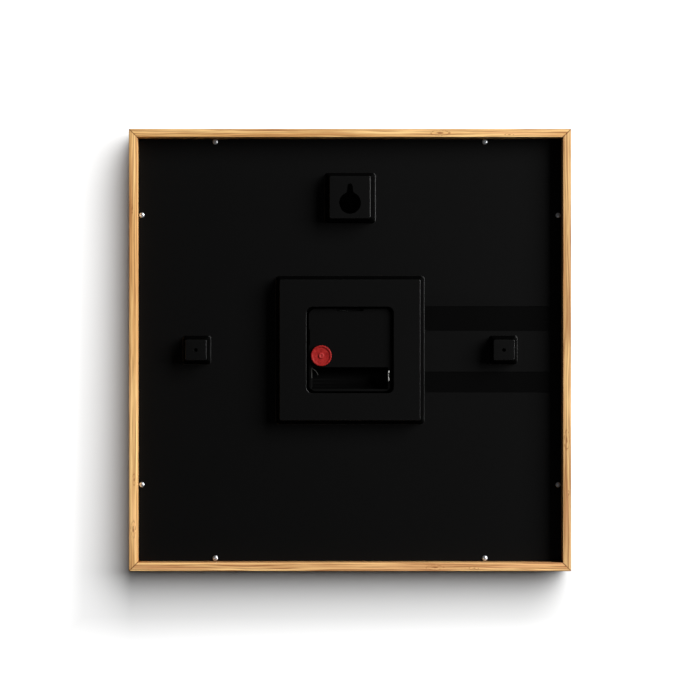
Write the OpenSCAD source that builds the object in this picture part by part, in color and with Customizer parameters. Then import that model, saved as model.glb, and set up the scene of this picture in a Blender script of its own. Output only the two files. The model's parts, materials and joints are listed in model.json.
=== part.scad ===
// Square wall clock with a mitred wooden frame, a moulded back panel and a
// one-cell quartz movement with its motor, gear train and three hands.
// Millimetres. +Z is up, the dial faces -Y, and the wall is the plane Y = 0.
// The origin is on the wall plane, on the axis of the hands.
// Depths below are measured from the wall plane towards the dial.

/* [Frame] */
// Outer width and height of the frame
frame_w = 300; // [280:1:320]
// Depth of the frame from the wall to its front face
frame_d = 40; // [38:0.5:46]
// Width of the back rim of each rail
rim_w = 5.6; // [4.5:0.1:7]
// Width of the ledge that the back panel is screwed to
ledge_w = 5; // [4.6:0.1:6]
// Width of the front face of each rail
front_face_w = 13.5; // [12.5:0.5:15]
// Thickness of the lip in front of the glass
lip_t = 4; // [3:0.5:4]
// Chamfer along the rails' outer edges
rail_chamfer = 0.5; // [0.2:0.1:0.8]

/* [Back panel] */
// Depth of the panel's back face below the wall plane
panel_depth = 11; // [10:0.5:11]
// Thickness of the panel
panel_t = 2; // [1.6:0.1:2]
// Width of the raised square housing at its face
housing_w = 95.6; // [90:0.2:98]
// How far each housing wall leans out from its face to its foot
housing_draft = 2.7; // [2:0.1:4]
// Width of the square window over the movement
window_w = 59; // [58.6:0.1:62]
// Height of the hanger's round hole above the axis of the hands
hanger_z = 99.8; // [96:0.1:100]
// Radius of the hanger's round hole
hanger_r = 7.35; // [6:0.05:7.6]
// Height of the rounded top of the hanger's slot above the round hole
hanger_rise = 11.4; // [11:0.1:12]
// Radius of the rounded top of the hanger's slot
hanger_tip_r = 1.7; // [1.5:0.1:2]
// Distance of each side boss from the axis of the hands
side_boss_x = 104.5; // [98:0.5:110]
// Radius of the hole in each side boss
side_hole_r = 1.2; // [1:0.05:1.6]

/* [Movement] */
// Width and height of the movement's case
case_w = 56; // [56:0.2:57]
// Depth of the movement's back face below the wall plane
case_back = 3; // [2.9:0.1:3.1]
// Radius of the setting knob
knob_r = 7.2; // [6:0.1:7.3]
// Length of the battery bay
bay_len = 51.6; // [51.2:0.1:51.8]
// Radius of the battery bay's curved floor
bay_r = 7.3; // [7.28:0.01:7.35]

/* [Hands] */
// Hour that the hands show
show_hour = 10; // [0:1:11]
// Minute that the hands show
show_minute = 8; // [0:1:59]
// Second that the hands show
show_second = 35; // [0:1:59]
// Length of the hour hand from the axis
hour_len = 74; // [60:1:84]
// Length of the minute hand from the axis
minute_len = 108; // [90:1:116]
// Length of the second hand from the axis
second_len = 116; // [95:1:122]

/* [Hidden] */
$fn = 48;

wood = [0.84, 0.66, 0.46];
black = [0.09, 0.09, 0.09];
movement_black = [0.08, 0.08, 0.08];
steel = [0.75, 0.75, 0.76];
brass = [0.80, 0.66, 0.35];
white = [0.94, 0.94, 0.92];
gear_white = [0.90, 0.89, 0.84];
red = [0.62, 0.13, 0.12];
iron = [0.45, 0.45, 0.46];
copper = [0.72, 0.38, 0.20];

half = frame_w / 2;
rim_in = half - rim_w;               // half width of the recess behind the panel
ledge_in = rim_in - ledge_w;         // half width of the well for dial and glass
lip_in = half - front_face_w;        // half width of the front opening
ledge_d = panel_depth + panel_t;     // depth of the ledge
glass_t = 2;
glass_back = frame_d - lip_t - glass_t;
well_half = ledge_in - 0.3;          // half width of dial and glass
screw_r = 1.0;
screw_at = rim_in - 2.4;             // screws run along this square
screw_along = 91.9;
screw_sites = [for (side = [0:3], s = [-1, 1]) [side, s * screw_along]];

case_d = 17;
case_front = case_back + case_d;     // 20
gasket_t = 0.6;
dial_t = 2;
dial_back = case_front + gasket_t;   // 20.6
dial_front = dial_back + dial_t;     // 22.6
washer_t = 0.4;
nut_t = 1.8;
bush_r = 4;
bush_end = dial_front + washer_t + nut_t + 0.6;

// Levels inside the movement, as depths
lid_in = case_back + 1.2;            // inside of the rear case's back wall
plate_back = 13;                     // bearing plate
plate_front = 14;
front_in = 18.5;                     // inside of the front case

// Tooth counts and modules
n_rotor = 10;  n_inter = 60;  n_inter_p = 12;  n_second = 60;
n_second_p = 8;  n_third = 60;  n_third_p = 8;  n_minute = 64;
n_cannon = 10;  n_transfer = 30;  n_transfer_p = 8;  n_hour = 32;  n_setting = 12;
m_train = 0.3;
d_third = m_train * (n_second_p + n_third) / 2;
m_minute = 2 * d_third / (n_third_p + n_minute);
m_motion = 0.55;
d_transfer = m_motion * (n_cannon + n_transfer) / 2;
d_setting = m_motion * (n_setting + n_transfer) / 2;

// Where the arbors stand, as [X, Z]
at_centre = [0, 0];
at_knob = [19.5, -3.9];
k_len = norm(at_knob);
k_a = (pow(d_transfer, 2) - pow(d_setting, 2) + pow(k_len, 2)) / (2 * k_len);
k_h = sqrt(pow(d_transfer, 2) - pow(k_a, 2));
at_transfer = [k_a * at_knob[0] - k_h * at_knob[1], k_a * at_knob[1] + k_h * at_knob[0]] / k_len;
d_inter = m_train * (n_inter_p + n_second) / 2;
at_inter = d_inter * [cos(60), sin(60)];
d_rotor = m_train * (n_rotor + n_inter) / 2;
at_rotor = at_inter + d_rotor * [cos(15), sin(15)];
at_third = d_third * [cos(150), sin(150)];

bay_z = -19.15;                      // centre line of the cell
bay_axis = case_back + 8.6;          // depth of the cell's centre line
bay_half = 7.45;
coil_x = 23.5;
coil_d = 12.3;

// Phase of a gear of nb teeth at pb that meshes with na teeth, phase fa, at pa
function mesh_phase(pa, na, fa, pb, nb) =
  let (t = atan2(pb[1] - pa[1], pb[0] - pa[0])) t + 180 + 180 / nb - (fa - t) * na / nb;

// One outline of n teeth: add and ded are in modules, widths in pitches
function gear_points(n, m, add = 0.8, ded = 1.2, tip = 0.2, mid = 0.4, root = 0.5) =
  let (p = 360 / n, r = n * m / 2)
  [for (i = [0:n - 1], k = [[-ded, -root], [0, -mid], [add, -tip], [add, tip], [0, mid], [-ded, root]])
    let (a = i * p + k[1] * p / 2, q = r + k[0] * m) [q * cos(a), q * sin(a)]];

// A plane shape in X and Z, drawn out from depth d0 to depth d1
module slab(d0, d1) {
  translate([0, -d0, 0]) rotate([90, 0, 0]) linear_extrude(d1 - d0) children();
}

module at(p) { translate([p[0], 0, p[1]]) children(); }

module disc(d0, d1, r) {
  translate([0, -d0, 0]) rotate([90, 0, 0]) cylinder(h = d1 - d0, r = r);
}

module rrect(w, h, r) {
  square([w - 2 * r, h], center = true);
  square([w, h - 2 * r], center = true);
  for (x = [-1, 1], y = [-1, 1]) translate([x * (w / 2 - r), y * (h / 2 - r)]) circle(r);
}

module gear(n, m, phase, d0, d1) {
  slab(d0, d1) rotate(phase) polygon(gear_points(n, m));
}

// A drafted hollow or solid block: width and height at depth d0 and at depth d1
module drafted(w0, h0, r0, d0, w1, h1, r1, d1, foot = 1) {
  hull() {
    slab(d0, d0 + 0.02) rrect(w0, h0, r0, $fn = 32);
    slab(d1, d1 + foot) rrect(w1, h1, r1, $fn = 32);
  }
}

module rect_ring(outer, inner) {
  difference() {
    square(2 * outer, center = true);
    square(2 * inner, center = true);
  }
}

// ---- Frame ----

module rail() {
  c = rail_chamfer;
  difference() {
    intersection() {
      translate([-half, 0, 0]) rotate([90, 0, 90]) linear_extrude(frame_w)
        polygon([[0, rim_in], [0, half - c], [-c, half], [-frame_d + c, half], [-frame_d, half - c],
          [-frame_d, lip_in + c], [-frame_d + c, lip_in], [-(frame_d - lip_t), lip_in],
          [-(frame_d - lip_t), ledge_in], [-ledge_d, ledge_in], [-ledge_d, rim_in]]);
      slab(-1, frame_d + 1) polygon([[0, 0], [half + 1, half + 1], [-half - 1, half + 1]]);
    }
    for (s = [-1, 1]) translate([s * screw_along, 0, screw_at]) disc(ledge_d - 1, ledge_d + 8.5, screw_r);
  }
}

module frame_rail_top() { color(wood) rail(); }
module frame_rail_right() { color(wood) rotate([0, 90, 0]) rail(); }
module frame_rail_bottom() { color(wood) rotate([0, 180, 0]) rail(); }
module frame_rail_left() { color(wood) rotate([0, 270, 0]) rail(); }

module front_glass() {
  color([0.85, 0.93, 0.95, 0.35]) slab(glass_back, glass_back + glass_t) square(2 * well_half, center = true);
}

module spacer_strips() {
  t = 2.5;
  color(white) {
    for (s = [-1, 1]) translate([0, 0, s * (well_half - t / 2)])
      slab(dial_front, glass_back) square([2 * well_half, t], center = true);
    for (s = [-1, 1]) translate([s * (well_half - t / 2), 0, 0])
      slab(dial_front, glass_back) square([t, 2 * (well_half - t) - 0.4], center = true);
  }
}

module dial_plate() {
  color(white) difference() {
    slab(dial_back, dial_front) square(2 * well_half, center = true);
    disc(dial_back - 1, dial_front + 1, bush_r + 0.1);
  }
}

// ---- Back panel ----

// Keyhole of the hanger: a round hole with a slot that narrows upwards to a small round end
module keyhole(r0, r1, rise) {
  circle(r0);
  intersection() {
    offset(r = -1.2, $fn = 32) offset(delta = 1.2) union() {
      circle(r0);
      polygon([[-2.95, 0], [2.95, 0], [r1 + 0.02, rise], [-r1 - 0.02, rise]]);
    }
    translate([-r0, 0]) square([2 * r0, rise]);
  }
  translate([0, rise]) circle(r1);
}

module back_panel() {
  w0 = housing_w;
  w1 = housing_w + 2 * housing_draft;
  hz = hanger_z + 3.8;
  color(black) difference() {
    union() {
      slab(panel_depth, ledge_d) rrect(2 * rim_in - 1, 2 * rim_in - 1, 1);
      slab(ledge_d, dial_back) rect_ring(ledge_in - 0.5, ledge_in - 2.9);
      drafted(w0, w0, 1, 0, w1, w1, 2.2, panel_depth);
      at([0, hz]) drafted(27.8, 28.8, 1, 0, 34.4, 34.4, 2.2, panel_depth);
      for (s = [-1, 1]) at([s * side_boss_x, 0]) drafted(14.4, 14, 1, 0, 18.8, 19.6, 2, panel_depth);
    }
    drafted(w0 - 2.7, w0 - 2.7, 1, panel_t, w1 - 2.7, w1 - 2.7, 1.4, ledge_d);
    at([0, hz]) drafted(25, 26, 1, panel_t, 31.6, 31.6, 1.4, ledge_d);
    slab(-1, panel_t + 1) rrect(window_w, window_w - 0.5, 4);
    at([0, hanger_z]) slab(-1, panel_t + 1) keyhole(hanger_r, hanger_tip_r, hanger_rise);
    for (s = [-1, 1]) at([s * side_boss_x, 0]) {
      disc(panel_t, ledge_d + 1, 5.4);
      disc(-1, panel_t + 1, side_hole_r);
    }
    for (q = screw_sites) rotate([0, 90 * q[0], 0]) at([q[1], screw_at])
      disc(panel_depth - 1, ledge_d + 1, screw_r + 0.15);
    // two shallow smooth bands beside the housing
    for (z = [21.4, -21.9]) at([-95, z]) slab(panel_depth - 1, panel_depth + 0.4)
      square([88, z > 0 ? 16.8 : 14.2], center = true);
  }
}

module back_panel_screws() {
  color(steel) for (q = screw_sites) rotate([0, 90 * q[0], 0]) at([q[1], screw_at]) difference() {
    union() {
      translate([0, -panel_depth, 0]) rotate([90, 0, 0])
        rotate_extrude() polygon([[0, -1.25], [0.9, -1.2], [1.45, -0.9], [1.75, -0.4], [1.8, 0],
          [screw_r, 0], [screw_r, 9.4], [0.2, 10.4], [0, 10.4]]);
    }
    for (a = [0, 90]) rotate([0, a, 0]) translate([0, -panel_depth + 1, 0])
      cube([2.2, 1.4, 0.5], center = true);
  }
}

// ---- Movement: case, plates and fixings ----

module case_outline() { rrect(case_w, case_w, 4.8); }

module bearing_boss(p, d0, d1, r) { at(p) disc(d0, d1, r); }

module movement_rear_case() {
  hw = case_w / 2;
  partition = bay_z + bay_half;          // top of the bay
  cav_w = case_w - 2.4;
  cav_h = hw - 1.2 - (partition + 1.2);
  cav_z = hw - 1.2 - cav_h / 2;
  color(movement_black) difference() {
    union() {
      difference() {
        union() {
          slab(case_back, front_in) case_outline();
          slab(front_in - 0.5, case_front) intersection() {
            case_outline();
            translate([-hw, -hw]) square([case_w, hw + partition + 1]);
          }
        }
        // gear chamber, open towards the dial
        at([0, cav_z]) slab(lid_in, case_front + 1) {
          rrect(cav_w, cav_h, 3);
          translate([-cav_w / 2, -cav_h / 2]) square([cav_w, cav_h / 2]);
        }
      }
      bearing_boss(at_centre, lid_in - 0.5, 7.6, 1.6);
      bearing_boss(at_inter, lid_in - 0.5, 7.4, 1.4);
      bearing_boss(at_rotor, lid_in - 0.5, 7.4, 1.4);
      bearing_boss(at_third, lid_in - 0.5, 9.2, 1.4);
      bearing_boss(at_knob, lid_in - 0.5, 7.6, 2.6);
    }
    // battery bay with a curved floor
    at([0, bay_z]) slab(case_back - 1, bay_axis) square([bay_len, 2 * bay_half], center = true);
    translate([-bay_len / 2, -bay_axis, bay_z]) rotate([0, 90, 0]) cylinder(h = bay_len, r = bay_r);
    // slots that hold the two contacts
    at([-26.02, -17.5]) slab(case_back - 1, 15.2) square([0.46, 7.4], center = true);
    at([-26.02, -12]) slab(9.4, 12.6) square([0.46, 4], center = true);
    at([-26.4, -17.5]) slab(case_back - 1, 4.1) square([1.22, 7.4], center = true);
    at([26.02, -19.15]) slab(case_back - 1, 15.2) square([0.46, 14.5], center = true);
    at([26.02, -11]) slab(6.6, 7.8) square([0.46, 2.4], center = true);
    // bearings
    at(at_centre) disc(5.8, 8, 0.55);
    for (p = [at_inter, at_rotor, at_third]) at(p) disc(6, 11, 0.45);
    at(at_knob) disc(case_back - 1, 8, 1.55);
    // grip notches in the rim
    at([0, hw - 0.5]) slab(case_back - 1, case_back + 2.5) square([18, 2.2], center = true);
    at([-hw, 7]) slab(case_back - 1, case_back + 3) square([1.6, 5.4], center = true);
    at([hw, 8.5]) slab(case_back - 1, case_back + 3) square([1.6, 10.6], center = true);
  }
}

module movement_front_case() {
  hw = case_w / 2;
  low = bay_z + bay_half + 1.05;
  color(movement_black) difference() {
    union() {
      slab(front_in, case_front) intersection() {
        case_outline();
        translate([-hw, low]) square([case_w, hw - low]);
      }
      disc(case_front - 0.5, bush_end, bush_r);
      for (p = [[-24, -7.5], [-21.5, 24], [18, 24], [24.2, -7.8]]) at(p) disc(plate_front, front_in + 0.5, 1.5);
    }
    disc(front_in - 1, bush_end + 1, 2.6);
    at(at_third) disc(front_in - 1, front_in + 1, 0.45);
    at(at_transfer) disc(front_in - 1, front_in + 1, 0.75);
    at(at_knob) disc(front_in - 1, front_in + 1, 0.75);
  }
}

module bearing_plate() {
  color(movement_black) difference() {
    slab(plate_back, plate_front) difference() {
      translate([-25.1, -9.9]) square([51.5, 36]);
      translate([20.35, 0.6]) square([10, 30]);
      translate([24.9, -12]) square([3, 4]);
    }
    at(at_centre) disc(plate_back - 1, plate_front + 1, 1.8);
    at(at_third) disc(plate_back - 1, plate_front + 1, 1.75);
    at(at_transfer) disc(plate_back - 1, plate_front + 1, 0.75);
    at(at_knob) disc(plate_back - 1, plate_front + 1, 1.55);
    for (p = [at_inter, at_rotor]) at(p) disc(plate_back - 1, plate_front + 1, 0.45);
  }
}

module mounting_nut() {
  color(brass) difference() {
    translate([0, -(dial_front + washer_t), 0]) rotate([90, 0, 0]) cylinder(h = nut_t, r = 5.9, $fn = 6);
    disc(dial_front, bush_end + 1, bush_r);
  }
}

module dial_washer() {
  color(brass) difference() {
    disc(dial_front, dial_front + washer_t, 7);
    disc(dial_front - 1, dial_front + washer_t + 1, bush_r + 0.05);
  }
}

module rubber_gasket() {
  color([0.12, 0.12, 0.12]) difference() {
    disc(case_front, dial_back, 17);
    disc(case_front - 1, dial_back + 1, bush_r + 0.1);
  }
}

// ---- Movement: motor and electronics ----

module stator_plate() {
  color(iron) difference() {
    slab(11.1, 11.9) union() {
      translate([at_rotor[0] - 4.7, 1.2]) square([9.4, 24.6]);
      translate([at_rotor[0], 1.2]) square([25.2 - at_rotor[0], 2.8]);
      translate([at_rotor[0], 23]) square([25.2 - at_rotor[0], 2.8]);
    }
    at(at_rotor) disc(10, 13, 3.5);
  }
}

module coil_core() {
  color(iron) slab(11.9, 12.7) translate([coil_x - 1.3, 1.2]) square([2.6, 24.6]);
}

module coil_bobbin() {
  color([0.85, 0.82, 0.7]) difference() {
    translate([coil_x, -coil_d, 0]) union() {
      translate([0, 0, 5]) cylinder(h = 17, r = 1.8);
      translate([0, 0, 5]) cylinder(h = 0.8, r = 2.9);
      translate([0, 0, 21.2]) cylinder(h = 0.8, r = 2.9);
    }
    translate([coil_x, -coil_d, 13]) cube([2.7, 0.9, 20], center = true);
  }
}

module coil_winding() {
  color(copper) translate([coil_x, -coil_d, 5.8]) difference() {
    cylinder(h = 15.4, r = 2.6);
    translate([0, 0, -1]) cylinder(h = 18, r = 1.8);
  }
}

module circuit_board() {
  color([0.10, 0.35, 0.18]) slab(12, 13) translate([-25.8, 15.5]) square([17.8, 10.4]);
}

module quartz_crystal() {
  color(steel) translate([-24, -11, 24]) rotate([0, 90, 0]) cylinder(h = 6, r = 1);
}

module driver_chip() {
  color([0.07, 0.07, 0.08]) at([-12.2, 20.5]) union() {
    disc(11.4, 12, 2.6);
    disc(11, 11.5, 1.8);
  }
}

module battery_contact_positive() {
  color(steel) {
    at([-26, -17.5]) slab(3.2, 15) square([0.4, 6.8], center = true);
    at([-26, 1.5]) slab(9.5, 12.5) square([0.4, 32], center = true);
    // two ears bent outwards at the top of the strip, with a waist between them
    for (z = [-20.9, -16.7]) translate([0, 0, z]) linear_extrude(2.6)
      polygon([[-25.8, -3.2], [-26.85, -3.6], [-26.85, -3.95], [-26.2, -3.75], [-25.8, -3.75]]);
    translate([0, 0, -18.4]) linear_extrude(1.8)
      polygon([[-25.8, -3.2], [-26.35, -3.41], [-26.35, -3.75], [-25.8, -3.75]]);
  }
}

module battery_contact_negative() {
  color(steel) {
    // base strip on the end wall of the bay and the sprung leaf that rises from it
    at([26, -15.6]) slab(7.4, 15) square([0.4, 7], center = true);
    slab(6.9, 14.8) intersection() {
      translate([28.5, bay_z]) difference() {
        circle(7.2);
        circle(6.85);
      }
      translate([20, bay_z + 2.2]) square([6.2, 6]);
    }
    at([26, -11.4]) slab(6.7, 7.7) square([0.4, 2.6], center = true);
    at([0.35, -10.3]) slab(6.7, 7.7) square([51.7, 0.4], center = true);
    at([-25.3, 3.7]) slab(6.7, 7.7) square([0.4, 28.4], center = true);
    at([-25.3, 17]) slab(6.7, 12) square([0.4, 1.8], center = true);
  }
}

// ---- Gear train ----

module rotor_magnet() {
  color([0.3, 0.3, 0.32]) at(at_rotor) difference() {
    disc(10.3, 12.5, 3);
    disc(10, 13, 1);
  }
}

module rotor_pinion() {
  f = mesh_phase(at_inter, n_inter, 0, at_rotor, n_rotor);
  color(gear_white) at(at_rotor) union() {
    gear(n_rotor, m_train, f, 7.9, 9.7);
    disc(9.6, 12.7, 1);
    disc(6.4, 13.8, 0.4);
  }
}

module intermediate_wheel() {
  f = mesh_phase(at_centre, n_second, 0, at_inter, n_inter_p);
  color(gear_white) at(at_inter) union() {
    gear(n_inter, m_train, 0, 8.2, 9);
    gear(n_inter_p, m_train, f, 8.9, 10.9);
    disc(10.8, 12.7, 0.9);
    disc(7.6, 8.3, 0.9);
    disc(6.4, 13.8, 0.4);
  }
}

module second_wheel() {
  f = mesh_phase(at_third, n_third, 0, at_centre, n_second_p);
  color(gear_white) difference() {
    union() {
      gear(n_second, m_train, 0, 9.8, 10.6);
      gear(n_second_p, m_train, f, 10.5, 12.8);
      disc(8, 9.9, 1.2);
    }
    disc(7, 14, 0.5);
  }
}

module second_arbor() {
  color(steel) disc(6.4, 32, 0.5);
}

module third_wheel() {
  f = mesh_phase(at_centre, n_minute, 0, at_third, n_third_p);
  color(gear_white) at(at_third) union() {
    gear(n_third, m_train, 0, 11.6, 12.4);
    gear(n_third_p, m_minute, f, 12.3, 15.5);
    disc(9.6, 11.7, 0.9);
    disc(6.4, 19.3, 0.4);
  }
}

module minute_wheel() {
  color(gear_white) difference() {
    gear(n_minute, m_minute, 0, 14.4, 15.2);
    disc(14, 16, 2.05);
  }
}

module clutch_washer() {
  color(steel) difference() {
    disc(15.25, 15.5, 3.2);
    disc(15, 16, 2);
  }
}

module minute_tube() {
  f = mesh_phase(at_transfer, n_transfer, 0, at_centre, n_cannon);
  color(gear_white) difference() {
    union() {
      disc(13.1, 14.35, 1.75);
      disc(14.3, 15.6, 2);
      gear(n_cannon, m_motion, f, 15.5, 17);
      disc(16.9, 30.2, 1.75);
    }
    disc(12, 31, 0.6);
  }
}

module transfer_wheel() {
  f = mesh_phase(at_centre, n_hour, 0, at_transfer, n_transfer_p);
  color(gear_white) at(at_transfer) union() {
    gear(n_transfer, m_motion, 0, 15.8, 16.8);
    gear(n_transfer_p, m_motion, f, 16.7, 18.3);
    disc(14.2, 15.9, 1.2);
    disc(13.2, 19.4, 0.7);
  }
}

module hour_wheel() {
  color(gear_white) difference() {
    union() {
      gear(n_hour, m_motion, 0, 17.2, 18.2);
      disc(18.1, 28, 2.55);
    }
    disc(17, 29, 1.8);
  }
}

module setting_stem() {
  f = mesh_phase(at_transfer, n_transfer, 0, at_knob, n_setting);
  color(gear_white) at(at_knob) union() {
    disc(1.3, 15.7, 1.5);
    gear(n_setting, m_motion, f, 15.6, 17);
    disc(16.9, 19.4, 0.7);
  }
}

module setting_knob() {
  r = knob_r;
  color(red) at(at_knob) difference() {
    rotate([90, 0, 0]) rotate_extrude() polygon([[0, 0.5], [0.7, 0.5], [0.9, 0.2], [1.8, 0.1], [2.2, 0.4],
      [2.4, 0.8], [5.3, 0.8], [5.6, 0.3], [6, 0.1], [r - 0.4, 0.1], [r, 0.5], [r, 2.35], [r - 0.3, 2.65],
      [1.5, 2.65], [1.5, 1.3], [0, 1.3]]);
    for (i = [0:23]) rotate([0, 15 * i, 0]) at([r + 0.25, 0]) disc(-1, 3.2, 0.45);
  }
}

// ---- Hands ----

module blade(w_hub, w_tip, len, tail, w_tail) {
  polygon([[-w_tail / 2, -tail], [w_tail / 2, -tail], [w_hub / 2, 0], [w_tip / 2, len - w_tip / 2],
    [0, len], [-w_tip / 2, len - w_tip / 2], [-w_hub / 2, 0]]);
}

minute_turn = (show_minute + show_second / 60) * 6;
hour_turn = (show_hour + minute_turn / 360) * 30;
second_turn = show_second * 6;

module hour_hand() {
  color([0.06, 0.06, 0.06]) difference() {
    union() {
      slab(26.4, 27) rotate(-hour_turn) union() {
        blade(7, 5, hour_len, 20, 6);
        circle(6.2);
      }
      disc(26.9, 28, 3.8);
    }
    disc(26, 29, 2.55);
  }
}

module minute_hand() {
  color([0.06, 0.06, 0.06]) difference() {
    union() {
      slab(29, 29.5) rotate(-minute_turn) union() {
        blade(6, 3.6, minute_len, 24, 5);
        circle(5);
      }
      disc(29.4, 30.2, 3);
    }
    disc(28, 31, 1.75);
  }
}

module second_hand() {
  color(red) difference() {
    union() {
      slab(31.1, 31.5) rotate(-second_turn) union() {
        blade(1.8, 1, second_len, 34, 2);
        translate([0, -30]) circle(4);
        circle(3.4);
      }
      disc(30.9, 31.2, 1.6);
      disc(31.4, 32.4, 2.2);
    }
    disc(30, 32, 0.5);
  }
}

frame_rail_top();
frame_rail_right();
frame_rail_bottom();
frame_rail_left();
front_glass();
spacer_strips();
dial_plate();
back_panel();
back_panel_screws();
movement_rear_case();
movement_front_case();
bearing_plate();
mounting_nut();
dial_washer();
rubber_gasket();
stator_plate();
coil_core();
coil_bobbin();
coil_winding();
circuit_board();
quartz_crystal();
driver_chip();
battery_contact_positive();
battery_contact_negative();
rotor_magnet();
rotor_pinion();
intermediate_wheel();
second_wheel();
second_arbor();
third_wheel();
minute_wheel();
clutch_washer();
minute_tube();
transfer_wheel();
hour_wheel();
setting_stem();
setting_knob();
hour_hand();
minute_hand();
second_hand();
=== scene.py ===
import json
import math

import bmesh
import bpy
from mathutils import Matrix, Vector


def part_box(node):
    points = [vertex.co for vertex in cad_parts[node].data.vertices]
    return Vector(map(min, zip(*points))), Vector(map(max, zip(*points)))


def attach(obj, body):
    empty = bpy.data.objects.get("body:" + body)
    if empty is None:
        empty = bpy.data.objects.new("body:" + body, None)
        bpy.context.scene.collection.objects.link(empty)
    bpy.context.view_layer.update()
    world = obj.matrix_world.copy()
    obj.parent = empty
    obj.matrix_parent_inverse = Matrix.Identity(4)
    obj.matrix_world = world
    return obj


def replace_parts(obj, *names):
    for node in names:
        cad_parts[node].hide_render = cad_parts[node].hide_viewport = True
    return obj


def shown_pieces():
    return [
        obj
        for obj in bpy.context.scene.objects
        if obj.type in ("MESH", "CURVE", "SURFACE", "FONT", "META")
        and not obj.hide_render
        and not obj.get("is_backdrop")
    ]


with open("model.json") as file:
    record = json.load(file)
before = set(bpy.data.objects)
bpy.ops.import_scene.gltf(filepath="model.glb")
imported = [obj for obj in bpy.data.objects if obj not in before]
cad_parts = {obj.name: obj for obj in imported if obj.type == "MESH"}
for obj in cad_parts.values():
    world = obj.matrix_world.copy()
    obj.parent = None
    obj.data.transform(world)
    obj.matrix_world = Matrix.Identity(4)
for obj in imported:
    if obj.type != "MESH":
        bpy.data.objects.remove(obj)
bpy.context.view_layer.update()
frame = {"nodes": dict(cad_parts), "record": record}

# Square wall clock, seen from the back: wooden rails, black back panel and
# quartz movement. Metres; +Y is the wall side, the dial faces -Y, +Z is up.

nodes = frame["nodes"]
MM = 0.001
TAU = 2 * math.pi


# ---------------------------------------------------------------- materials
class Mat:
    """A procedural material: short helpers for its node tree."""

    def __init__(self, name):
        self.m = bpy.data.materials.new(name)
        self.m.use_nodes = True
        self.t = self.m.node_tree
        self.t.nodes.clear()
        self.out = self.t.nodes.new("ShaderNodeOutputMaterial")
        self.b = self.t.nodes.new("ShaderNodeBsdfPrincipled")
        self.link(self.b.outputs[0], self.out.inputs[0])
        self.tc = self.t.nodes.new("ShaderNodeTexCoord").outputs["Object"]

    def link(self, a, b):
        self.t.links.new(a, b)

    def put(self, socket, value):
        if isinstance(value, bpy.types.NodeSocket):
            self.link(value, socket)
        else:
            socket.default_value = value

    def scaled(self, v, s):
        n = self.t.nodes.new("ShaderNodeMapping")
        self.link(v, n.inputs["Vector"])
        n.inputs["Scale"].default_value = s
        return n.outputs[0]

    def noise(self, v, scale, detail=3.0, rough=0.5, distort=0.0, color=False):
        n = self.t.nodes.new("ShaderNodeTexNoise")
        self.link(v, n.inputs["Vector"])
        n.inputs["Scale"].default_value = scale
        n.inputs["Detail"].default_value = detail
        n.inputs["Roughness"].default_value = rough
        n.inputs["Distortion"].default_value = distort
        return n.outputs["Color" if color else "Fac"]

    def voronoi(self, v, scale, feature="F1"):
        n = self.t.nodes.new("ShaderNodeTexVoronoi")
        n.feature = feature
        self.link(v, n.inputs["Vector"])
        n.inputs["Scale"].default_value = scale
        return n.outputs["Distance"]

    def math(self, op, a, b=0.0, c=0.0, clamp=False):
        n = self.t.nodes.new("ShaderNodeMath")
        n.operation = op
        n.use_clamp = clamp
        self.put(n.inputs[0], a)
        self.put(n.inputs[1], b)
        self.put(n.inputs[2], c)
        return n.outputs[0]

    def ramp(self, fac, stops, mode="LINEAR"):
        n = self.t.nodes.new("ShaderNodeValToRGB")
        n.color_ramp.interpolation = mode
        els = n.color_ramp.elements
        while len(els) > 1:
            els.remove(els[-1])
        for i, (p, c) in enumerate(stops):
            e = els[0] if i == 0 else els.new(p)
            e.position = p
            e.color = (*c, 1.0) if len(c) == 3 else c
        self.link(fac, n.inputs[0])
        return n.outputs[0]

    def span(self, v, a, b, lo=0.0, hi=1.0):
        n = self.t.nodes.new("ShaderNodeMapRange")
        n.clamp = True
        self.put(n.inputs["Value"], v)
        n.inputs["From Min"].default_value = a
        n.inputs["From Max"].default_value = b
        n.inputs["To Min"].default_value = lo
        n.inputs["To Max"].default_value = hi
        return n.outputs[0]

    def mix(self, fac, a, b, mode="MIX"):
        n = self.t.nodes.new("ShaderNodeMix")
        n.data_type = "RGBA"
        n.blend_type = mode
        self.put(n.inputs[0], fac)
        self.put(n.inputs[6], a if isinstance(a, bpy.types.NodeSocket) else (*a, 1.0))
        self.put(n.inputs[7], b if isinstance(b, bpy.types.NodeSocket) else (*b, 1.0))
        return n.outputs[2]

    def xyz(self, v):
        n = self.t.nodes.new("ShaderNodeSeparateXYZ")
        self.link(v, n.inputs[0])
        return n.outputs[0], n.outputs[1], n.outputs[2]

    def vec(self, x, y, z):
        n = self.t.nodes.new("ShaderNodeCombineXYZ")
        self.put(n.inputs[0], x)
        self.put(n.inputs[1], y)
        self.put(n.inputs[2], z)
        return n.outputs[0]

    def bump(self, height, strength, distance, normal=None):
        n = self.t.nodes.new("ShaderNodeBump")
        n.inputs["Strength"].default_value = strength
        n.inputs["Distance"].default_value = distance
        self.link(height, n.inputs["Height"])
        if normal is not None:
            self.link(normal, n.inputs["Normal"])
        return n.outputs[0]

    def set(self, **kw):
        names = {
            "color": "Base Color", "rough": "Roughness", "metal": "Metallic",
            "spec": "Specular IOR Level", "normal": "Normal", "coat": "Coat Weight",
            "coat_rough": "Coat Roughness", "sheen": "Sheen Weight", "ior": "IOR",
            "alpha": "Alpha", "aniso": "Anisotropic",
        }
        for k, v in kw.items():
            s = self.b.inputs[names[k]]
            if k == "color" and not isinstance(v, bpy.types.NodeSocket):
                v = (*v, 1.0)
            self.put(s, v)
        return self


def lin(r, g, b):
    def one(c):
        c /= 255.0
        return c / 12.92 if c <= 0.04045 else ((c + 0.055) / 1.055) ** 2.4
    return (one(r), one(g), one(b))


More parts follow.
